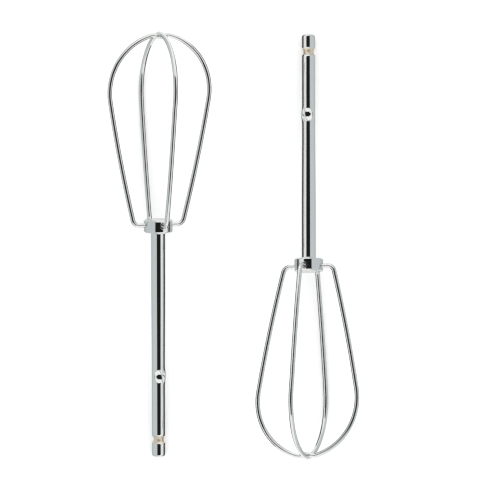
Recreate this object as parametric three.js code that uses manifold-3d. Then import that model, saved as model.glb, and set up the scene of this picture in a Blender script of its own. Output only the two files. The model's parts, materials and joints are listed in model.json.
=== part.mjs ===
// A matched pair of whisk beaters for an electric hand mixer, lying head to tail on a flat surface.
//
// Each beater is four pieces of chrome-plated steel: a round shaft, a collar fixed on one end of it,
// and two wire loops that cross at the tip and have their four ends set in the collar.
//
// Units are millimetres and +Z is up. The origin is on the surface, under the middle of the pair.
// A beater is drawn in its own frame: +Y runs along the shaft towards the tip of the whisk, Z points
// up, and the origin is the middle of the collar. Distances along the shaft are called levels.

import * as THREE from 'three';
import { mergeVertices } from 'three/addons/utils/BufferGeometryUtils.js';
import Module from 'manifold-3d';

// ---------- driving dimensions ----------

const CLEARANCE = 0.3; // left between neighbouring pieces

// shaft
const NECK_RADIUS = 3.175; // at the collar
const DRIVE_RADIUS = 3.0; // where the mixer's spindle grips it
const TAPER_TOP_LEVEL = -29;
const TAPER_FOOT_LEVEL = -59;
const SHAFT_END_LEVEL = -104.3;
const END_ROUND = 0.9; // rounded edge of the shaft's free end

// retaining groove, a round-bottomed ring
const GROOVE_LEVEL = SHAFT_END_LEVEL + 7.7;
const GROOVE_DEPTH = 0.8;
const GROOVE_HALF_WIDTH = 1.65;
const RIVET_CHAMFER = 0.4; // edge of the end that fills the collar

// drive dimple, punched by a ball into one side, which flattens the metal beside it and swells it out
const DIMPLE_LEVEL = SHAFT_END_LEVEL + 36.5;
const DIMPLE_BALL_RADIUS = 4.0;
const DIMPLE_BALL_OFFSET = 5.75; // centre of the ball from the shaft's axis
const DIMPLE_AZIMUTH = degrees(85);
const SWELL_RADIUS = 3.0; // of the egg-shaped swelling, across the shaft
const SWELL_LENGTH_RATIO = 2.4; // its reach along the shaft, against its radius
const SWELL_OFFSET = 0.28; // its centre from the shaft's axis
const SWELL_AZIMUTH = degrees(5);
const FLAT_RADIUS = 9; // the flat is hollowed a little along the shaft, by this radius
const FLAT_OFFSET = 11.5; // centre of that radius from the shaft's axis
const FLAT_AZIMUTH = degrees(50);

// collar
const COLLAR_RADIUS = 6.45;
const COLLAR_HALF_HEIGHT = 2.825;
const COLLAR_EDGE_ROUND = 0.75;
const COLLAR_MOUTH_CHAMFER = 0.35;
const BEAD_RADIUS = 3.95; // small bead round the shaft, under the collar
const BEAD_HEIGHT = 0.6;

// wires
const WIRE_RADIUS = 1.05;
const WIRE_LEVEL = 0.5; // of the holes in the collar
const WIRE_END_RADIUS = 4.6; // how near a wire's end comes to the axis
const BEND_RADIUS = 3.1; // of the bend beside the collar
const LEG_ARC_RADIUS = 680; // the legs bow out a little
const SHOULDER_ANGLE = degrees(9.5); // slope of the wire where leg and crown meet
const CROWN_RADIUS = 25.95;
const CROWN_OFFSET = 2.46; // centre of each crown arc, beyond the axis
const CROWN_LEVEL = 60.4;
const TIP_RADIUS = 9;
const NEAR_TIP_ANGLE = degrees(64); // where the crown's finer steps start

// the loop that passes under the other at the tip dips to clear it
const DIP_DEPTH = 2 * WIRE_RADIUS + 0.45;
const DIP_HALF_WIDTH = 5;
const OVER_LOOP_AZIMUTH = degrees(70);
const UNDER_LOOP_AZIMUTH = degrees(160);

// how the pair lies
const AXIS_SPACING = 67.4; // between the two shafts' axes
const COLLAR_SHIFT = 8.84; // of each collar from the middle of the pair, towards its own tip

// how finely the curves are divided
const ROUND_SIDES = 28;
const HOLE_SIDES = 16;
const ROLLER_SIDES = 64;
const WIRE_SIDES = 12;
const ARC_STEPS = 3;
const BEND_STEPS = 4;
const LEG_STEPS = 7;
const CROWN_STEPS = 11;
const NEAR_TIP_STEPS = 8;
const TIP_STEPS = 4;
const MERGE_DISTANCE = 1e-4; // points nearer than this are one point

// The wire's section is a polygon drawn round its true circle.
const WIRE_SECTION_RADIUS = WIRE_RADIUS / Math.cos(Math.PI / WIRE_SIDES);

function degrees(angle) {
  return THREE.MathUtils.degToRad(angle);
}

// ---------- solids: joining and cutting ----------

const wasm = await Module();
wasm.setup();

function toSolid(geometry) {
  const bare = geometry.clone();
  bare.deleteAttribute('normal');
  bare.deleteAttribute('uv');
  const merged = mergeVertices(bare, MERGE_DISTANCE);
  return new wasm.Manifold(new wasm.Mesh({
    numProp: 3,
    vertProperties: new Float32Array(merged.attributes.position.array),
    triVerts: new Uint32Array(merged.index.array),
  }));
}

function toGeometry(solid) {
  const mesh = solid.getMesh();
  const geometry = new THREE.BufferGeometry();
  geometry.setAttribute('position', new THREE.BufferAttribute(mesh.vertProperties, 3));
  geometry.setIndex(new THREE.BufferAttribute(mesh.triVerts, 1));
  geometry.computeVertexNormals();
  return geometry;
}

// a vector square to the shaft, at an azimuth counted from +X towards +Z
function across(azimuth, distance, level) {
  return new THREE.Vector3(distance * Math.cos(azimuth), level, distance * Math.sin(azimuth));
}

// ---------- shaft ----------

// Lathe outline from the free end up to the collar, as radius and level.
function shaftOutline() {
  const outline = new THREE.Path();
  const grooveArcRadius = (GROOVE_HALF_WIDTH ** 2 + GROOVE_DEPTH ** 2) / (2 * GROOVE_DEPTH);
  const grooveHalfAngle = Math.asin(GROOVE_HALF_WIDTH / grooveArcRadius);
  const grooveArcCentre = DRIVE_RADIUS - GROOVE_DEPTH + grooveArcRadius;
  outline.moveTo(0, SHAFT_END_LEVEL);
  outline.lineTo(DRIVE_RADIUS - END_ROUND, SHAFT_END_LEVEL);
  outline.absarc(
    DRIVE_RADIUS - END_ROUND, SHAFT_END_LEVEL + END_ROUND, END_ROUND, -Math.PI / 2, 0, false);
  outline.absarc(
    grooveArcCentre, GROOVE_LEVEL, grooveArcRadius,
    Math.PI + grooveHalfAngle, Math.PI - grooveHalfAngle, true);
  outline.lineTo(DRIVE_RADIUS, TAPER_FOOT_LEVEL);
  outline.lineTo(NECK_RADIUS, TAPER_TOP_LEVEL);
  outline.lineTo(NECK_RADIUS, COLLAR_HALF_HEIGHT - RIVET_CHAMFER);
  outline.lineTo(NECK_RADIUS - RIVET_CHAMFER, COLLAR_HALF_HEIGHT);
  outline.lineTo(0, COLLAR_HALF_HEIGHT);
  return outline.getPoints(ARC_STEPS);
}

// A ball beside the shaft's axis, which may be longer along the shaft than across it.
function ball(azimuth, offset, radius, lengthRatio) {
  const sphere = new THREE.SphereGeometry(radius, ROUND_SIDES, ROUND_SIDES / 2);
  sphere.scale(1, lengthRatio, 1);
  const centre = across(azimuth, offset, DIMPLE_LEVEL);
  return toSolid(sphere.translate(centre.x, centre.y, centre.z));
}

// A roller square to the shaft, which leaves the flat where it sinks into the bar.
function flatRoller() {
  const roller = new THREE.CylinderGeometry(FLAT_RADIUS, FLAT_RADIUS, 4 * DRIVE_RADIUS, ROLLER_SIDES);
  roller.applyQuaternion(new THREE.Quaternion().setFromUnitVectors(
    new THREE.Vector3(0, 1, 0), across(FLAT_AZIMUTH + Math.PI / 2, 1, 0)));
  const centre = across(FLAT_AZIMUTH, FLAT_OFFSET, DIMPLE_LEVEL);
  return toSolid(roller.translate(centre.x, centre.y, centre.z));
}

function shaftGeometry() {
  const bar = toSolid(new THREE.LatheGeometry(shaftOutline(), ROUND_SIDES));
  const swelling = ball(SWELL_AZIMUTH, SWELL_OFFSET, SWELL_RADIUS, SWELL_LENGTH_RATIO);
  const dimple = ball(DIMPLE_AZIMUTH, DIMPLE_BALL_OFFSET, DIMPLE_BALL_RADIUS, 1);
  return toGeometry(bar.add(swelling).subtract(flatRoller()).subtract(dimple));
}

// ---------- collar ----------

// Closed lathe outline, up the outside and down the bore.
function collarOutline() {
  const outline = new THREE.Path();
  const bore = NECK_RADIUS + CLEARANCE;
  const roundCentre = COLLAR_RADIUS - COLLAR_EDGE_ROUND;
  const roundLevel = COLLAR_HALF_HEIGHT - COLLAR_EDGE_ROUND;
  outline.moveTo(bore, -COLLAR_HALF_HEIGHT - BEAD_HEIGHT);
  outline.lineTo(bore + CLEARANCE / 2, -COLLAR_HALF_HEIGHT - BEAD_HEIGHT);
  outline.lineTo(BEAD_RADIUS, -COLLAR_HALF_HEIGHT);
  outline.absarc(roundCentre, -roundLevel, COLLAR_EDGE_ROUND, -Math.PI / 2, 0, false);
  outline.absarc(roundCentre, roundLevel, COLLAR_EDGE_ROUND, 0, Math.PI / 2, false);
  outline.lineTo(bore + COLLAR_MOUTH_CHAMFER, COLLAR_HALF_HEIGHT);
  outline.lineTo(bore, COLLAR_HALF_HEIGHT - COLLAR_MOUTH_CHAMFER);
  outline.lineTo(bore, -COLLAR_HALF_HEIGHT - BEAD_HEIGHT);
  return outline.getPoints(ARC_STEPS);
}

// A blind hole square to the shaft, which runs out past the collar's side.
function wireHole(azimuth) {
  const floor = WIRE_END_RADIUS - CLEARANCE;
  const mouth = COLLAR_RADIUS + CLEARANCE;
  const radius = WIRE_SECTION_RADIUS + CLEARANCE;
  const hole = new THREE.CylinderGeometry(radius, radius, mouth - floor, HOLE_SIDES);
  const outward = across(azimuth, 1, 0);
  hole.applyQuaternion(new THREE.Quaternion().setFromUnitVectors(new THREE.Vector3(0, 1, 0), outward));
  const middle = across(azimuth, (floor + mouth) / 2, WIRE_LEVEL);
  return toSolid(hole.translate(middle.x, middle.y, middle.z));
}

function collarGeometry() {
  let collar = toSolid(new THREE.LatheGeometry(collarOutline(), ROUND_SIDES));
  for (const loopAzimuth of [OVER_LOOP_AZIMUTH, UNDER_LOOP_AZIMUTH]) {
    collar = collar.subtract(wireHole(loopAzimuth)).subtract(wireHole(loopAzimuth + Math.PI));
  }
  return toGeometry(collar);
}

// ---------- wire loops ----------

// One loop in its own plane, as distance from the axis and level: out of the collar, round the bend,
// up the leg, over the crown and tip, and the mirror image of all that down to the collar again.
// It is a list of plane curves, each with the number of steps it is divided into.
function loopCurves() {
  const shoulder = -SHOULDER_ANGLE;
  const legReach = LEG_ARC_RADIUS - CROWN_RADIUS;
  const leg = {
    x: -CROWN_OFFSET - legReach * Math.cos(shoulder),
    y: CROWN_LEVEL - legReach * Math.sin(shoulder),
  };
  const bendReach = LEG_ARC_RADIUS - BEND_RADIUS;
  const bendLevel = WIRE_LEVEL + BEND_RADIUS;
  const legFoot = Math.asin((bendLevel - leg.y) / bendReach);
  const bendDistance = leg.x + bendReach * Math.cos(legFoot);
  const tipReach = CROWN_RADIUS - TIP_RADIUS;
  const tipStart = Math.acos(CROWN_OFFSET / tipReach);
  const tipLevel = CROWN_LEVEL + tipReach * Math.sin(tipStart);

  const arc = (x, y, radius, from, to) => new THREE.EllipseCurve(x, y, radius, radius, from, to);
  const mirrored = (x, y, radius, from, to) => arc(-x, y, radius, Math.PI - to, Math.PI - from);
  const point = (x, y) => new THREE.Vector2(x, y);
  const half = [
    [[bendDistance, bendLevel, BEND_RADIUS, -Math.PI / 2, legFoot], BEND_STEPS],
    [[leg.x, leg.y, LEG_ARC_RADIUS, legFoot, shoulder], LEG_STEPS],
    [[-CROWN_OFFSET, CROWN_LEVEL, CROWN_RADIUS, shoulder, NEAR_TIP_ANGLE], CROWN_STEPS],
    [[-CROWN_OFFSET, CROWN_LEVEL, CROWN_RADIUS, NEAR_TIP_ANGLE, tipStart], NEAR_TIP_STEPS],
  ];
  const ends = [point(WIRE_END_RADIUS, WIRE_LEVEL), point(bendDistance, WIRE_LEVEL)];
  const mirroredEnds = [point(-bendDistance, WIRE_LEVEL), point(-WIRE_END_RADIUS, WIRE_LEVEL)];
  return [
    [new THREE.LineCurve(...ends), 1],
    ...half.map(([values, steps]) => [arc(...values), steps]),
    [arc(0, tipLevel, TIP_RADIUS, tipStart, Math.PI - tipStart), TIP_STEPS],
    ...half.toReversed().map(([values, steps]) => [mirrored(...values), steps]),
    [new THREE.LineCurve(...mirroredEnds), 1],
  ];
}

// The centre line of one loop in the beater's frame. Its steps are those of the plane curves.
class LoopLine extends THREE.Curve {
  constructor(azimuth, dipDepth) {
    super();
    this.azimuth = azimuth;
    this.dipDepth = dipDepth;
    this.spans = loopCurves();
    this.steps = this.spans.reduce((total, [, steps]) => total + steps, 0);
  }

  getUtoTmapping(u) {
    return u;
  }

  getPoint(t, target = new THREE.Vector3()) {
    let step = t * this.steps;
    let index = 0;
    while (index < this.spans.length - 1 && step > this.spans[index][1]) {
      step -= this.spans[index][1];
      index += 1;
    }
    const [curve, steps] = this.spans[index];
    const flat = curve.getPoint(step / steps);
    const nearTip = flat.y > CROWN_LEVEL && Math.abs(flat.x) < DIP_HALF_WIDTH;
    const dip = nearTip ? this.dipDepth * (1 + Math.cos(Math.PI * flat.x / DIP_HALF_WIDTH)) / 2 : 0;
    return target.copy(across(this.azimuth, flat.x, flat.y - dip));
  }
}

function loopGeometry(azimuth, dipDepth) {
  const line = new LoopLine(azimuth, dipDepth);
  const section = new THREE.Shape();
  section.absarc(0, 0, WIRE_SECTION_RADIUS, 0, 2 * Math.PI, false);
  return new THREE.ExtrudeGeometry(section, {
    steps: line.steps,
    curveSegments: WIRE_SIDES / 2,
    extrudePath: line,
  });
}

// ---------- the pair ----------

const CHROME = 0xd5d9dc;
const BAR_ROUGHNESS = 0.06;
const TURNED_ROUGHNESS = 0.08;
const WIRE_ROUGHNESS = 0.07;

const PIECES = [
  ['shaft', shaftGeometry(), BAR_ROUGHNESS],
  ['collar', collarGeometry(), TURNED_ROUGHNESS],
  ['over_wire', loopGeometry(OVER_LOOP_AZIMUTH, 0), WIRE_ROUGHNESS],
  ['under_wire', loopGeometry(UNDER_LOOP_AZIMUTH, DIP_DEPTH), WIRE_ROUGHNESS],
];

function makeBeater(side) {
  const beater = new THREE.Group();
  for (const [name, geometry, roughness] of PIECES) {
    const material = new THREE.MeshStandardMaterial({ color: CHROME, metalness: 1, roughness });
    material.name = `chrome_${name}`;
    const mesh = new THREE.Mesh(geometry, material);
    mesh.name = `${side}_${name}`;
    beater.add(mesh);
  }
  return beater;
}

// A lying beater touches the surface with the lowest arm of its whisk and the edge of its free end.
// Each pass brings the two touching points closer to one height.
function restTilt() {
  const slant = Math.sin(OVER_LOOP_AZIMUTH);
  const passes = 8;
  let tilt = 0;
  for (let pass = 0; pass < passes; pass += 1) {
    const crownDrop = CROWN_RADIUS * Math.hypot(Math.sin(tilt), slant * Math.cos(tilt));
    const edgeDrop = (CROWN_OFFSET * slant + DRIVE_RADIUS - END_ROUND) * Math.cos(tilt);
    const rise = crownDrop + WIRE_SECTION_RADIUS - edgeDrop - END_ROUND;
    tilt = Math.asin(rise / (CROWN_LEVEL - SHAFT_END_LEVEL - END_ROUND));
  }
  return tilt;
}

const leftBeater = makeBeater('left');
leftBeater.position.set(-AXIS_SPACING / 2, COLLAR_SHIFT, 0);
leftBeater.rotation.x = restTilt();

const rightBeater = makeBeater('right');
rightBeater.position.copy(leftBeater.position);
rightBeater.rotation.copy(leftBeater.rotation);
const halfTurn = new THREE.Group();
halfTurn.rotation.z = Math.PI;
halfTurn.add(rightBeater);

const beaterPair = new THREE.Group();
beaterPair.add(leftBeater, halfTurn);
beaterPair.position.z = -new THREE.Box3().setFromObject(beaterPair, true).min.z;

export default beaterPair;
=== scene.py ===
"""Looks of a pair of chrome-plated hand mixer beaters that lie head to tail on a pale floor.

Each beater is a polished shaft, a collar and two bent wire loops. A beater is drawn in its own frame,
in millimetres: X points to the other beater, Y runs along the shaft towards the tip of the whisk, Z points
up, and the origin is the middle of the collar. Levels are distances along Y, and azimuths turn from X to Z.
The model's joint says where that frame is.
"""

import json
import math

import bpy
import numpy as np
from mathutils import Matrix, Vector


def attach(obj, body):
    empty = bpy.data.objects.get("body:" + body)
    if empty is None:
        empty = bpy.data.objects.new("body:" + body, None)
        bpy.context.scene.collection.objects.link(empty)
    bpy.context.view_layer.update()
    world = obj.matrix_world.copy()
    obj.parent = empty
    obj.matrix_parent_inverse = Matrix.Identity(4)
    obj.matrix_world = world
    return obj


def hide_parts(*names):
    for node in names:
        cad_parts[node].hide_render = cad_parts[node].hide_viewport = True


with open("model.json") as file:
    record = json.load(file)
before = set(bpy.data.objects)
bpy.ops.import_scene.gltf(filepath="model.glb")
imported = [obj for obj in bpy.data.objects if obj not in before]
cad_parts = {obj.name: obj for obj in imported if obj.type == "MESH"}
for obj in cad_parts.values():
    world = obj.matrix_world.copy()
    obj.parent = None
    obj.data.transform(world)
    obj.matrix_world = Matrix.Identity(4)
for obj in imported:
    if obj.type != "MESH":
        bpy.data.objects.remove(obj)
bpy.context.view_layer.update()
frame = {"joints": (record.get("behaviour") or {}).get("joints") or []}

MM = 0.001

# ---------- sizes of a beater, in millimetres ----------

NECK_RADIUS = 3.175
DRIVE_RADIUS = 3.0
TAPER_TOP_LEVEL = -29.0
TAPER_FOOT_LEVEL = -59.0
SHAFT_END_LEVEL = -104.3
END_ROUND = 0.9
RIVET_ROUND = 0.4

GROOVE_LEVEL = SHAFT_END_LEVEL + 7.7
GROOVE_DEPTH = 0.8
GROOVE_HALF_WIDTH = 1.65

DIMPLE_LEVEL = SHAFT_END_LEVEL + 36.5
DIMPLE_BALL_RADIUS = 4.0
DIMPLE_BALL_OFFSET = 5.75  # of the ball's middle from the shaft's axis
DIMPLE_AZIMUTH = math.radians(85)
SWELL_RADIUS = 3.0
SWELL_LENGTH_RATIO = 2.4  # how much longer than wide the swelling is
SWELL_OFFSET = 0.28
SWELL_AZIMUTH = math.radians(5)
FLAT_RADIUS = 9.0  # of the roller that flattened the shaft between the dimple and the swelling
FLAT_OFFSET = 11.5
FLAT_AZIMUTH = math.radians(50)
SWELL_SOFTNESS = 0.12  # how rounded the edges of the swelling and the flat are
LIP_SOFTNESS = 0.09  # how rounded the dimple's lip is

COLLAR_RADIUS = 6.45
COLLAR_HALF_HEIGHT = 2.825
COLLAR_EDGE_ROUND = 0.75
BEAD_RADIUS = 3.95
BEAD_HEIGHT = 0.6

WIRE_RADIUS = 1.05
WIRE_LEVEL = 0.5
WIRE_END_RADIUS = 4.6
BEND_RADIUS = 3.1
LEG_ARC_RADIUS = 680.0  # the legs are almost straight
SHOULDER_ANGLE = math.radians(9.5)  # how far below its widest level the crown's arc begins
CROWN_RADIUS = 25.95
CROWN_OFFSET = 2.46
CROWN_LEVEL = 60.4
TIP_RADIUS = 9.0
DIP_DEPTH = 1.39
DIP_HALF_WIDTH = 4.2
OVER_LOOP_AZIMUTH = math.radians(70)
UNDER_LOOP_AZIMUTH = math.radians(160)

# The under loop of these two beaters leans to the inner side, and draws the tip of the over loop with it.
WHISK_LEAN = math.radians(0.74)
OVER_LEAN_START = 50  # levels between which the over loop begins to lean
OVER_LEAN_FULL = 84


def smoothstep(low, high, value):
    """Nothing below the low value, one above the high value, and a smooth rise between them."""
    share = np.clip((value - low) / (high - low), 0, 1)
    return share * share * (3 - 2 * share)


# ---------- meshes ----------


def beater_matrix(side):
    """Where a beater's own frame lies in the model.

    The joint gives the right beater's frame, and the left one's is half a turn round from it."""
    joint = next(j for j in frame["joints"] if j["name"] == "right_spin")
    along = Vector(joint["axis"])
    across = Vector((-1, 0, 0))
    up = across.cross(along)
    matrix = Matrix((across, along, up)).transposed().to_4x4()
    matrix.translation = Vector(joint["pos_m"])
    return matrix if side == "right" else Matrix.Rotation(math.pi, 4, "Z") @ matrix


def add_piece(name, side, points, faces, material, node):
    """One smooth-shaded mesh, which stands for a CAD node and moves with its body.

    Its points come in a beater's frame, and are kept as the attribute "place" for the material's
    patterns."""
    place = np.asarray(points).reshape(-1, 3) * MM
    matrix = np.array(beater_matrix(side))
    mesh = bpy.data.meshes.new(name)
    mesh.from_pydata((place @ matrix[:3, :3].T + matrix[:3, 3]).tolist(), [], faces)
    mesh.shade_smooth()
    mesh.attributes.new("place", "FLOAT_VECTOR", "POINT").data.foreach_set("vector", place.ravel())
    mesh.materials.append(material)
    piece = bpy.data.objects.new(name, mesh)
    bpy.context.scene.collection.objects.link(piece)
    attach(piece, f"{side}_beater")
    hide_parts(node)
    return piece


def tube_faces(rings, sides, closed):
    """Quads between rings of points.

    A closed tube's last ring meets its first, and an open one gets two caps."""
    faces = []
    for ring in range(rings if closed else rings - 1):
        here = ring * sides
        there = (ring + 1) % rings * sides
        for side in range(sides):
            after = (side + 1) % sides
            faces.append((here + side, here + after, there + after, there + side))
    if not closed:
        faces.append(tuple(reversed(range(sides))))
        faces.append(tuple(range((rings - 1) * sides, rings * sides)))
    return faces


def arc(centre, radius, start, end, steps):
    """Points of an arc in a plane, from one angle to another."""
    angles = np.linspace(start, end, steps + 1)
    return np.stack([centre[0] + radius * np.cos(angles), centre[1] + radius * np.sin(angles)], axis=1)


def line(start, end, steps):
    share = np.linspace(0, 1, steps + 1)[:, None]
    return np.asarray(start, float) * (1 - share) + np.asarray(end, float) * share


def joined(*stretches):
    """The stretches end to end, with the points that two of them share kept once."""
    points = [stretches[0]]
    points += [stretch[1:] for stretch in stretches[1:]]
    return np.concatenate(points)


def lathe_points(outline, azimuths):
    """An outline of radius and level turned round the shaft's axis, ring by ring."""
    radius = outline[:, 0][:, None]
    level = np.repeat(outline[:, 1][:, None], len(azimuths), axis=1)
    return np.stack([radius * np.cos(azimuths), level, radius * np.sin(azimuths)], axis=2)


# ---------- shaft ----------

SHAFT_SIDES = 192
AXIS_RADIUS = 0.02  # of the cap in the middle of each end face
DIMPLE_REACH = 4.6  # how far along the shaft the dimple's fine rings go, to each side
DIMPLE_FADE = 1  # length over which the dimple's shape fades out at the ends of its reach
LEAST_FACING = 0.1  # keeps the flat's surface away from the far side of the shaft

POLISH_DEPTH = 0.004  # unevenness left by grinding
POLISH_WAVE = 0.37  # radians of a wave for each millimetre along the shaft
POLISH_SHIFT = 2  # radians that a wave shifts by on its way round the shaft
POLISH_BEAT = 0.083  # radians for each millimetre of the slow growing and fading of the waves
POLISH_BEAT_START = 1.1
POLISH_RADII = (0.5, 2.5)  # there is none near the axis, and all of it from the second radius on

# how many rings each stretch of the shaft has
FACE_RINGS = 4
END_ROUND_RINGS = 14
DRIVE_END_RINGS = 8
GROOVE_RINGS = 30
DRIVE_RINGS = 24
DIMPLE_RINGS = 120
ABOVE_DIMPLE_RINGS = 6
TAPER_RINGS = 30
NECK_RINGS = 40
RIVET_RINGS = 6


def shaft_outline():
    """Radius and level from the free end up to the end in the collar."""
    reach = (GROOVE_HALF_WIDTH**2 + GROOVE_DEPTH**2) / (2 * GROOVE_DEPTH)
    half = math.asin(GROOVE_HALF_WIDTH / reach)
    groove_centre = (DRIVE_RADIUS - GROOVE_DEPTH + reach, GROOVE_LEVEL)
    end_centre = (DRIVE_RADIUS - END_ROUND, SHAFT_END_LEVEL + END_ROUND)
    rivet_centre = (NECK_RADIUS - RIVET_ROUND, COLLAR_HALF_HEIGHT - RIVET_ROUND)
    end_edge = (DRIVE_RADIUS - END_ROUND, SHAFT_END_LEVEL)
    drive_end = (DRIVE_RADIUS, SHAFT_END_LEVEL + END_ROUND)
    below_groove = (DRIVE_RADIUS, GROOVE_LEVEL - GROOVE_HALF_WIDTH)
    above_groove = (DRIVE_RADIUS, GROOVE_LEVEL + GROOVE_HALF_WIDTH)
    below_dimple = (DRIVE_RADIUS, DIMPLE_LEVEL - DIMPLE_REACH)
    above_dimple = (DRIVE_RADIUS, DIMPLE_LEVEL + DIMPLE_REACH)
    taper_foot = (DRIVE_RADIUS, TAPER_FOOT_LEVEL)
    taper_top = (NECK_RADIUS, TAPER_TOP_LEVEL)
    neck_end = (NECK_RADIUS, COLLAR_HALF_HEIGHT - RIVET_ROUND)
    rivet_edge = (NECK_RADIUS - RIVET_ROUND, COLLAR_HALF_HEIGHT)
    return joined(
        line((AXIS_RADIUS, SHAFT_END_LEVEL), end_edge, FACE_RINGS),
        arc(end_centre, END_ROUND, -math.pi / 2, 0, END_ROUND_RINGS),
        line(drive_end, below_groove, DRIVE_END_RINGS),
        arc(groove_centre, reach, math.pi + half, math.pi - half, GROOVE_RINGS),
        line(above_groove, below_dimple, DRIVE_RINGS),
        line(below_dimple, above_dimple, DIMPLE_RINGS),
        line(above_dimple, taper_foot, ABOVE_DIMPLE_RINGS),
        line(taper_foot, taper_top, TAPER_RINGS),
        line(taper_top, neck_end, NECK_RINGS),
        arc(rivet_centre, RIVET_ROUND, 0, math.pi / 2, RIVET_RINGS),
        line(rivet_edge, (AXIS_RADIUS, COLLAR_HALF_HEIGHT), FACE_RINGS),
    )


def soft_least(first, second, softness):
    """The lesser of two values, rounded off where they are about equal."""
    gap = np.sqrt((first - second) ** 2 + softness**2)
    return (first + second - gap) / 2


def soft_most(first, second, softness):
    return -soft_least(-first, -second, softness)


def ball_roots(level, azimuth, ball_azimuth, offset, radius, length_ratio):
    """Where a ray from the axis crosses a ball: the middle of the crossing, and half its length squared."""
    turn = azimuth - ball_azimuth
    middle = offset * np.cos(turn)
    aside = offset * np.sin(turn)
    along = (level - DIMPLE_LEVEL) / length_ratio
    return middle, radius**2 - aside**2 - along**2


def dimpled(radius, level, azimuth):
    """The shaft's radius where a ball was pressed into it, with the flat and the swelling beside it."""
    middle, half_squared = ball_roots(
        level, azimuth, SWELL_AZIMUTH, SWELL_OFFSET, SWELL_RADIUS, SWELL_LENGTH_RATIO
    )
    swell = np.where(half_squared > 0, middle + np.sqrt(np.maximum(half_squared, 0)), 0)
    swollen = soft_most(radius, swell, SWELL_SOFTNESS)
    facing = np.cos(azimuth - FLAT_AZIMUTH)
    flat_distance = FLAT_OFFSET - np.sqrt(FLAT_RADIUS**2 - (level - DIMPLE_LEVEL) ** 2)
    flat = flat_distance / np.maximum(facing, LEAST_FACING)
    swollen = soft_least(swollen, flat, SWELL_SOFTNESS)
    middle, half_squared = ball_roots(
        level, azimuth, DIMPLE_AZIMUTH, DIMPLE_BALL_OFFSET, DIMPLE_BALL_RADIUS, 1
    )
    pressed = (half_squared > 0) & (middle > 0)
    well_outside = 2 * DIMPLE_BALL_OFFSET
    floor = np.where(pressed, middle - np.sqrt(np.maximum(half_squared, 0)), well_outside)
    return soft_least(swollen, floor, LIP_SOFTNESS)


def make_shaft(side, material):
    azimuths = np.linspace(0, 2 * math.pi, SHAFT_SIDES, endpoint=False)
    outline = shaft_outline()
    level = np.repeat(outline[:, 1][:, None], SHAFT_SIDES, axis=1)
    radius = np.repeat(outline[:, 0][:, None], SHAFT_SIDES, axis=1)
    azimuth = np.repeat(azimuths[None, :], len(outline), axis=0)
    near = 1 - smoothstep(DIMPLE_REACH - DIMPLE_FADE, DIMPLE_REACH, np.abs(level - DIMPLE_LEVEL))
    close_level = np.clip(level, DIMPLE_LEVEL - DIMPLE_REACH, DIMPLE_LEVEL + DIMPLE_REACH)
    radius = radius + near * (dimpled(radius, close_level, azimuth) - radius)
    beat = np.sin(level * POLISH_BEAT + POLISH_BEAT_START)
    wave = np.sin(level * POLISH_WAVE + POLISH_SHIFT * np.sin(azimuth)) * beat
    radius = radius + POLISH_DEPTH * wave * smoothstep(*POLISH_RADII, radius)
    points = np.stack([radius * np.cos(azimuth), level, radius * np.sin(azimuth)], axis=2)
    faces = tube_faces(len(outline), SHAFT_SIDES, closed=False)
    name = f"{side}_polished_shaft"
    return add_piece(name, side, points, faces, material, f"{side}_shaft")


# ---------- collar ----------

COLLAR_SIDES = 360
BORE_RADIUS = NECK_RADIUS - 0.05  # a little under the shaft's surface, so that no gap shows
BORE_BEVEL = 0.35
BEAD_FACE = 0.02  # width of the bead's flat face, from the bore to its rounding
BEAD_ROUND_END = -0.35  # radians short of the bead's full width, where its rounding stops
HOLES = 4
HOLE_RADIUS = WIRE_RADIUS + 0.12
HOLE_RIM = 0.3  # width of the rounded rim round a hole
HOLE_DEPTH = 1.3
SIDE_MARGIN = 0.2  # a hole has its full depth this close to the collar's outside
STAKE_DEPTH = 0.03  # how far staking has sunk the metal round a hole
STAKE_DISTANCE = 0.55  # from the hole's edge to the deepest part of the staked ring
STAKE_SPREAD = 0.4

# how many rings each stretch of the collar has
BEAD_FACE_RINGS = 1
BEAD_RINGS = 10
COLLAR_FACE_RINGS = 6
COLLAR_EDGE_RINGS = 18
COLLAR_SIDE_RINGS = 44
BEVEL_RINGS = 2


def collar_outline():
    """Closed outline of radius and level: out under the bead, up the outside and down the bore."""
    low = -COLLAR_HALF_HEIGHT
    high = COLLAR_HALF_HEIGHT
    side_centre = COLLAR_RADIUS - COLLAR_EDGE_ROUND
    side_level = COLLAR_HALF_HEIGHT - COLLAR_EDGE_ROUND
    bead_foot = low - BEAD_HEIGHT
    bead_edge = BORE_RADIUS + BEAD_FACE
    bead_round = BEAD_RADIUS - BORE_RADIUS - BEAD_FACE
    bead_centre = (bead_edge, bead_foot + bead_round)
    bevel_edge = (BORE_RADIUS + BORE_BEVEL, high)
    return joined(
        line((BORE_RADIUS, bead_foot), (bead_edge, bead_foot), BEAD_FACE_RINGS),
        arc(bead_centre, bead_round, -math.pi / 2, BEAD_ROUND_END, BEAD_RINGS),
        line((BEAD_RADIUS, low), (side_centre, low), COLLAR_FACE_RINGS),
        arc((side_centre, -side_level), COLLAR_EDGE_ROUND, -math.pi / 2, 0, COLLAR_EDGE_RINGS),
        line((COLLAR_RADIUS, -side_level), (COLLAR_RADIUS, side_level), COLLAR_SIDE_RINGS),
        arc((side_centre, side_level), COLLAR_EDGE_ROUND, 0, math.pi / 2, COLLAR_EDGE_RINGS),
        line((side_centre, high), bevel_edge, COLLAR_FACE_RINGS),
        line(bevel_edge, (BORE_RADIUS, high - BORE_BEVEL), BEVEL_RINGS),
    )


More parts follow.
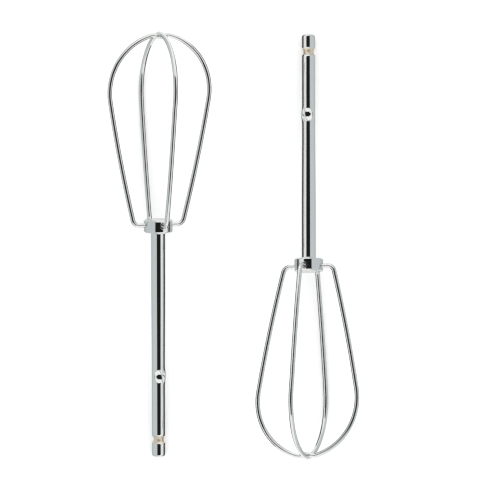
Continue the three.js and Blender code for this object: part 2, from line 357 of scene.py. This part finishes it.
def sunk_at_holes(points):
    """Presses the collar's outside in at its four wire holes, with a soft rim and a shallow staked ring."""
    shaped = points.copy()
    radius = np.hypot(points[..., 0], points[..., 2])
    outside = smoothstep(COLLAR_RADIUS - COLLAR_EDGE_ROUND, COLLAR_RADIUS - SIDE_MARGIN, radius)
    for quarter in range(HOLES):
        azimuth = OVER_LOOP_AZIMUTH + quarter * math.pi / 2
        outward = np.array([math.cos(azimuth), 0, math.sin(azimuth)])
        aside = np.array([-math.sin(azimuth), 0, math.cos(azimuth)])
        facing = points @ outward > 0
        distance = np.hypot(points @ aside, points[..., 1] - WIRE_LEVEL)
        hole = 1 - smoothstep(HOLE_RADIUS - HOLE_RIM / 2, HOLE_RADIUS + HOLE_RIM / 2, distance)
        staked = np.exp(-(((distance - HOLE_RADIUS - STAKE_DISTANCE) / STAKE_SPREAD) ** 2))
        sink = (HOLE_DEPTH * hole + STAKE_DEPTH * staked) * facing * outside
        shaped[..., 0] -= sink * points[..., 0] / radius
        shaped[..., 2] -= sink * points[..., 2] / radius
    return shaped


def make_collar(side, material):
    azimuths = np.linspace(0, 2 * math.pi, COLLAR_SIDES, endpoint=False)
    outline = collar_outline()
    points = sunk_at_holes(lathe_points(outline, azimuths))
    faces = tube_faces(len(outline), COLLAR_SIDES, closed=True)
    name = f"{side}_polished_collar"
    return add_piece(name, side, points, faces, material, f"{side}_collar")


# ---------- wire loops ----------

WIRE_SIDES = 40

# how many rings each stretch of half a loop has
WIRE_END_RINGS = 12
BEND_RINGS = 28
LEG_RINGS = 60
CROWN_RINGS = 110
TIP_RINGS = 40


def loop_line(dip_depth):
    """Centre line of a loop in its own plane, as distance from the shaft's axis and level."""
    shoulder = -SHOULDER_ANGLE
    leg_reach = LEG_ARC_RADIUS - CROWN_RADIUS
    leg = (-CROWN_OFFSET - leg_reach * math.cos(shoulder), CROWN_LEVEL - leg_reach * math.sin(shoulder))
    bend_reach = LEG_ARC_RADIUS - BEND_RADIUS
    bend_level = WIRE_LEVEL + BEND_RADIUS
    leg_foot = math.asin((bend_level - leg[1]) / bend_reach)
    bend = (leg[0] + bend_reach * math.cos(leg_foot), bend_level)
    tip_reach = CROWN_RADIUS - TIP_RADIUS
    tip_start = math.acos(CROWN_OFFSET / tip_reach)
    tip = (0, CROWN_LEVEL + tip_reach * math.sin(tip_start))
    half = joined(
        line((WIRE_END_RADIUS, WIRE_LEVEL), (bend[0], WIRE_LEVEL), WIRE_END_RINGS),
        arc(bend, BEND_RADIUS, -math.pi / 2, leg_foot, BEND_RINGS),
        arc(leg, LEG_ARC_RADIUS, leg_foot, shoulder, LEG_RINGS),
        arc((-CROWN_OFFSET, CROWN_LEVEL), CROWN_RADIUS, shoulder, tip_start, CROWN_RINGS),
        arc(tip, TIP_RADIUS, tip_start, math.pi / 2, TIP_RINGS),
    )
    whole = joined(half, half[::-1] * [-1, 1])
    near_tip = (whole[:, 1] > CROWN_LEVEL) & (np.abs(whole[:, 0]) < DIP_HALF_WIDTH)
    dip = dip_depth * (1 + np.cos(math.pi * whole[:, 0] / DIP_HALF_WIDTH)) / 2
    whole[:, 1] -= np.where(near_tip, dip, 0)
    return whole


def make_loop(side, kind, azimuth, dip_depth, material):
    flat = loop_line(dip_depth)
    outward = np.array([math.cos(azimuth), 0, math.sin(azimuth)])
    centres = flat[:, :1] * outward + flat[:, 1:] * np.array([0, 1, 0])
    tangents = np.gradient(centres, axis=0)
    tangents /= np.linalg.norm(tangents, axis=1)[:, None]
    square = np.array([-math.sin(azimuth), 0, math.cos(azimuth)])
    normals = np.cross(tangents, square)
    turns = np.linspace(0, 2 * math.pi, WIRE_SIDES, endpoint=False)
    around = np.cos(turns)[None, :, None] * normals[:, None] + np.sin(turns)[None, :, None] * square
    points = centres[:, None] + WIRE_RADIUS * around
    level = points[..., 1]
    share = smoothstep(OVER_LEAN_START, OVER_LEAN_FULL, level) if kind == "over" else 1
    points[..., 0] += math.tan(WHISK_LEAN) * level * share
    faces = tube_faces(len(flat), WIRE_SIDES, closed=False)
    name = f"{side}_polished_{kind}_wire"
    return add_piece(name, side, points, faces, material, f"{side}_{kind}_wire")


# ---------- chrome ----------

HAZE_RANGE = (0.3, 0.7)  # values that the haze's noise mostly lies between
GLOSS_RANGE = (0.7, 1.4)  # least and greatest roughness, as shares of the usual one
HAZE_DARKENING = 0.965
GROOVE_ROUGHNESS = 0.5
GROOVE_CORE = 0.8  # share of the groove's width where its plating is dull all over


class Nodes:
    """A short way to write a material's node tree."""

    def __init__(self, material):
        material.use_nodes = True
        self.tree = material.node_tree
        self.tree.nodes.clear()

    def add(self, kind, inputs=None, **settings):
        node = self.tree.nodes.new(f"ShaderNode{kind}")
        for name, value in settings.items():
            setattr(node, name, value)
        for name, value in (inputs or {}).items():
            if isinstance(value, bpy.types.NodeSocket):
                self.tree.links.new(value, node.inputs[name])
            else:
                node.inputs[name].default_value = value
        return node


def chrome(name, tint, roughness, marks_scale, marks_depth, groove_tint=None):
    """Bright plating with fine polishing marks, faint haze and slightly uneven gloss.

    A scale below one stretches the marks along that axis of the beater."""
    material = bpy.data.materials.new(name)
    nodes = Nodes(material)
    place = nodes.add("Attribute", attribute_name="place").outputs["Vector"]
    haze = nodes.add("TexNoise", {"Vector": place, "Scale": 130.0, "Detail": 4.0, "Roughness": 0.6})
    stretched = nodes.add("Mapping", {"Vector": place, "Scale": marks_scale})
    marks = nodes.add("TexNoise", {
        "Vector": stretched.outputs[0],
        "Scale": 900.0,
        "Detail": 5.0,
        "Roughness": 0.65,
    })
    gloss = nodes.add("MapRange", {
        "Value": haze.outputs["Fac"],
        "From Min": HAZE_RANGE[0],
        "From Max": HAZE_RANGE[1],
        "To Min": roughness * GLOSS_RANGE[0],
        "To Max": roughness * GLOSS_RANGE[1],
    })
    dullness = gloss.outputs["Result"]
    darker = tuple(value * HAZE_DARKENING for value in tint) + (1,)
    colour = mix_colours(nodes, haze.outputs["Fac"], tint + (1,), darker)
    if groove_tint:
        share = groove_share(nodes, place)
        colour = mix_colours(nodes, share, colour, groove_tint + (1,))
        dullness = mix_values(nodes, share, dullness, GROOVE_ROUGHNESS)
    bump = nodes.add("Bump", {
        "Strength": 1.0,
        "Distance": marks_depth * MM,
        "Height": marks.outputs["Fac"],
    })
    shader = nodes.add("BsdfPrincipled", {
        "Base Color": colour,
        "Metallic": 1.0,
        "Roughness": dullness,
        "Normal": bump.outputs["Normal"],
    })
    nodes.add("OutputMaterial", {"Surface": shader.outputs[0]})
    return material


def mix_colours(nodes, share, first, second):
    mix = nodes.add("MixRGB", {"Fac": share, "Color1": first, "Color2": second})
    return mix.outputs["Color"]


def mix_values(nodes, share, first, second):
    mix = nodes.add("Mix", {"Factor": share, "A": first, "B": second}, data_type="FLOAT")
    return mix.outputs["Result"]


def groove_share(nodes, place):
    """One inside the retaining groove, where the plating is thin and dull, and nothing elsewhere."""
    level = nodes.add("SeparateXYZ", {"Vector": place}).outputs["Y"]
    offset = nodes.add("Math", {0: level, 1: GROOVE_LEVEL * MM}, operation="SUBTRACT").outputs[0]
    distance = nodes.add("Math", {0: offset}, operation="ABSOLUTE").outputs[0]
    return nodes.add("MapRange", {
        "Value": distance,
        "From Min": GROOVE_HALF_WIDTH * MM,
        "From Max": GROOVE_HALF_WIDTH * MM * GROOVE_CORE,
        "To Min": 0.0,
        "To Max": 1.0,
    }).outputs["Result"]


# ---------- the pair ----------

SHAFT_CHROME = chrome(
    "shaft_chrome",
    tint=(0.80, 0.82, 0.83),
    roughness=0.04,
    marks_scale=(1.0, 0.06, 1.0),
    marks_depth=0.001,
    groove_tint=(0.88, 0.78, 0.64),
)
COLLAR_CHROME = chrome(
    "collar_chrome",
    tint=(0.79, 0.81, 0.82),
    roughness=0.04,
    marks_scale=(1.0, 0.5, 1.0),
    marks_depth=0.001,
)
WIRE_CHROME = chrome(
    "wire_chrome",
    tint=(0.80, 0.81, 0.82),
    roughness=0.03,
    marks_scale=(1.0, 0.12, 1.0),
    marks_depth=0.0006,
)

SIDES = ("left", "right")
pieces = {}
for side in SIDES:
    over = make_loop(side, "over", OVER_LOOP_AZIMUTH, 0, WIRE_CHROME)
    under = make_loop(side, "under", UNDER_LOOP_AZIMUTH, DIP_DEPTH, WIRE_CHROME)
    pieces[side] = {
        "shaft": [make_shaft(side, SHAFT_CHROME)],
        "collar": [make_collar(side, COLLAR_CHROME)],
        "wires": [over, under],
    }

# ---------- reflection tents ----------

TENT_STEP = 1.5  # degrees between the points of a tent
TENT_RADIUS = 3.0  # of the smallest tent, in metres
TENT_SPACING = 0.1  # between one tent and the next, in metres

# Directions in a tent are in degrees. Those across run from the outer side, through 0 straight up, to the
# inner side. Those along run from the shaft's free end, through 0 level with the beater, to the tip.
EDGE = 1.2  # over which one panel fades into the next
PALE = (0.645, 0.675, 0.675)
FLOOR_SHADE = 0.22  # how much darker the pale surroundings are below the beater
SHADE_FADE = (80, 150)  # across, to either side
WHITE = (0.93, 0.93, 0.90)
STEEP_GAIN = 0.16  # how much brighter the white panel is towards its two ends
STEEP_FADE = (18, 45)  # along, to either end
INNER_EDGE = 88  # where the white panel ends, across
MIRRORED_FADE = (26, 34)  # along, to either end, where the table begins to mirror the white panel
TABLE_SHARE = 0.6  # how white the table just below looks, from pale to as white as the panel
TABLE_HALF_WIDTH = 45
TABLE_FADE = (2, 8)  # along, towards the tip only
BLACK = (0.015, 0.015, 0.014)
CEILING_REACH = (-38, 24)  # along
NEAR_CORNER = -14  # along, where the ceiling's slanting near edge meets its inner edge
NEAR_SLANT = 1.18  # degrees along for each degree across
FAR_CORNER = (26, 15)  # a point across and along on the ceiling's slanting far edge
FAR_SLANT = 0.95
DARK_GREY = (0.07, 0.07, 0.066)
GAP_REACH = (-60, 35)  # along

# where each kind of piece sees the dark ceiling and the dark gap under the white panel, across
SIGHTS = {
    "shaft": {"ceiling": (-23.5, 41.5), "gap": (96, 142)},
    "collar": {"ceiling": (-23.5, 41.5), "gap": (84, 113)},
    "wires": {"ceiling": (-32, 44.5), "gap": (91, 155)},
}


def band(low, high, value):
    """One between two values and nothing outside them, with a soft edge at each."""
    rise = smoothstep(low - EDGE, low + EDGE, value)
    return rise * (1 - smoothstep(high - EDGE, high + EDGE, value))


def tent_colours(direction, ceiling, gap):
    """What a piece sees in each direction of its tent.

    The surroundings are pale. A white panel leans over the inner side, with a dark ceiling in its outer
    part and a dark gap under its inner edge. The table mirrors the panel at both ends of the beater, and is
    whiter just below the beater, towards its tip."""
    sideways, forward, upward = direction.T
    across = np.degrees(np.arctan2(sideways, upward))
    folded = np.degrees(np.arctan2(sideways, np.abs(upward)))
    along = np.degrees(np.arcsin(np.clip(forward, -1, 1)))
    steep = np.abs(along)
    below = upward < 0
    outer_edge, inner_edge = ceiling

    panel = band(outer_edge, INNER_EDGE, across)
    mirrored = band(outer_edge, INNER_EDGE, folded) * smoothstep(*MIRRORED_FADE, steep) * below
    under = band(-TABLE_HALF_WIDTH, TABLE_HALF_WIDTH, folded) * smoothstep(*TABLE_FADE, along) * below
    white_share = np.maximum.reduce([panel, mirrored, TABLE_SHARE * under])

    near_edge = along - NEAR_CORNER + NEAR_SLANT * (inner_edge - across)
    far_edge = FAR_CORNER[1] + FAR_SLANT * (FAR_CORNER[0] - across) - along
    corners_cut = smoothstep(-EDGE, EDGE, near_edge) * smoothstep(-EDGE, EDGE, far_edge)
    black_share = band(outer_edge, inner_edge, across) * band(*CEILING_REACH, along) * corners_cut
    grey_share = band(*gap, across) * band(*GAP_REACH, along)

    pale = np.array(PALE) * (1 - FLOOR_SHADE * smoothstep(*SHADE_FADE, np.abs(across)))[:, None]
    white = np.array(WHITE) * (1 + STEEP_GAIN * smoothstep(*STEEP_FADE, steep))[:, None]
    colour = pale
    for share, paint in ((white_share, white), (black_share, BLACK), (grey_share, DARK_GREY)):
        colour = colour * (1 - share[:, None]) + np.array(paint) * share[:, None]
    return colour


def glow(name):
    """Light in the colours of the attribute "light", which hides nothing behind it."""
    material = bpy.data.materials.new(name)
    nodes = Nodes(material)
    light = nodes.add("Attribute", attribute_name="light").outputs["Color"]
    lamp = nodes.add("Emission", {"Color": light, "Strength": 1.0})
    clear = nodes.add("BsdfTransparent")
    both = nodes.add("AddShader", {0: lamp.outputs[0], 1: clear.outputs[0]})
    nodes.add("OutputMaterial", {"Surface": both.outputs[0]})
    material.cycles.emission_sampling = "NONE"
    return material


def make_tent(side, kind, radius, material):
    """A big glowing ball, which only mirror-like rays of one kind of piece of one beater meet."""
    name = f"{side}_{kind}_tent"
    across = np.radians(np.arange(-180, 180, TENT_STEP))
    along = np.radians(np.arange(-90 + TENT_STEP, 90, TENT_STEP))
    across_grid, along_grid = np.meshgrid(across, along)
    direction = np.stack([
        np.sin(across_grid) * np.cos(along_grid),
        np.sin(along_grid),
        np.cos(across_grid) * np.cos(along_grid),
    ], axis=2).reshape(-1, 3)
    faces = tube_faces(len(along), len(across), closed=False)
    mesh = bpy.data.meshes.new(name)
    mesh.from_pydata((direction * radius).tolist(), [], faces)
    paint = mesh.color_attributes.new("light", "FLOAT_COLOR", "POINT")
    colours = tent_colours(direction, **SIGHTS[kind])
    rgba = np.concatenate([colours, np.ones((len(direction), 1))], axis=1)
    paint.data.foreach_set("color", rgba.ravel())
    mesh.materials.append(material)
    tent = bpy.data.objects.new(name, mesh)
    bpy.context.scene.collection.objects.link(tent)
    if side == "right":
        tent.rotation_euler.z = math.pi
    lit = bpy.data.collections.new(f"{name}_lights")
    for piece in pieces[side][kind]:
        lit.objects.link(piece)
    tent.light_linking.receiver_collection = lit
    tent.visible_camera = False
    tent.visible_diffuse = False
    tent.visible_transmission = False
    tent.visible_shadow = False


tent_glow = glow("tent_glow")
kinds = [(side, kind) for side in SIDES for kind in SIGHTS]
for count, (side, kind) in enumerate(kinds):
    make_tent(side, kind, TENT_RADIUS + count * TENT_SPACING, tent_glow)

# ---------- light and floor ----------

WORLD_STRENGTH = 1.38
FLOOR_REACH = 6.0  # in metres
FLOOR_LIGHT = (0.92, 0.92, 0.92, 1)
FLOOR_DARK = (0.9, 0.9, 0.9, 1)


def make_world():
    """Even white light from all round, which the floor shows and the chrome doesn't mirror."""
    world = bpy.data.worlds.new("studio")
    bpy.context.scene.world = world
    world.use_nodes = True
    background = world.node_tree.nodes["Background"]
    background.inputs["Color"].default_value = (1, 1, 1, 1)
    background.inputs["Strength"].default_value = WORLD_STRENGTH
    world.cycles_visibility.glossy = False


def make_floor():
    """A pale floor with a faint grain, which the chrome doesn't mirror."""
    mesh = bpy.data.meshes.new("floor")
    low, high = -FLOOR_REACH, FLOOR_REACH
    corners = [(low, low, 0), (high, low, 0), (high, high, 0), (low, high, 0)]
    mesh.from_pydata(corners, [], [(0, 1, 2, 3)])
    material = bpy.data.materials.new("floor")
    nodes = Nodes(material)
    place = nodes.add("TexCoord").outputs["Object"]
    grain = nodes.add("TexNoise", {"Vector": place, "Scale": 400.0, "Detail": 2.0})
    colour = mix_colours(nodes, grain.outputs["Fac"], FLOOR_LIGHT, FLOOR_DARK)
    shader = nodes.add("BsdfDiffuse", {"Color": colour})
    nodes.add("OutputMaterial", {"Surface": shader.outputs[0]})
    mesh.materials.append(material)
    floor = bpy.data.objects.new("floor", mesh)
    bpy.context.scene.collection.objects.link(floor)
    floor.visible_glossy = False


make_world()
make_floor()

# ---------- camera ----------

FIELD = 223.75 * MM  # width of the picture, at the height of the shafts
LENS = 400.0
SENSOR = 36.0
CLIP_END = 20.0
PIXEL_FILTER = 1.3  # in pixels, a little less than usual, because the photo is sharp
AIM = Vector((7.4, -2.0, 15.7)) * MM  # the pair lies a little to the upper left of the picture's middle


def make_camera():
    """A long lens that looks straight down."""
    data = bpy.data.cameras.new("camera")
    data.sensor_width = SENSOR
    data.lens = LENS
    camera = bpy.data.objects.new("camera", data)
    bpy.context.scene.collection.objects.link(camera)
    camera.location = AIM + Vector((0, 0, FIELD * LENS / SENSOR))
    data.clip_end = CLIP_END
    bpy.context.scene.camera = camera


make_camera()
bpy.context.scene.view_settings.view_transform = "Standard"
bpy.context.scene.cycles.filter_width = PIXEL_FILTER
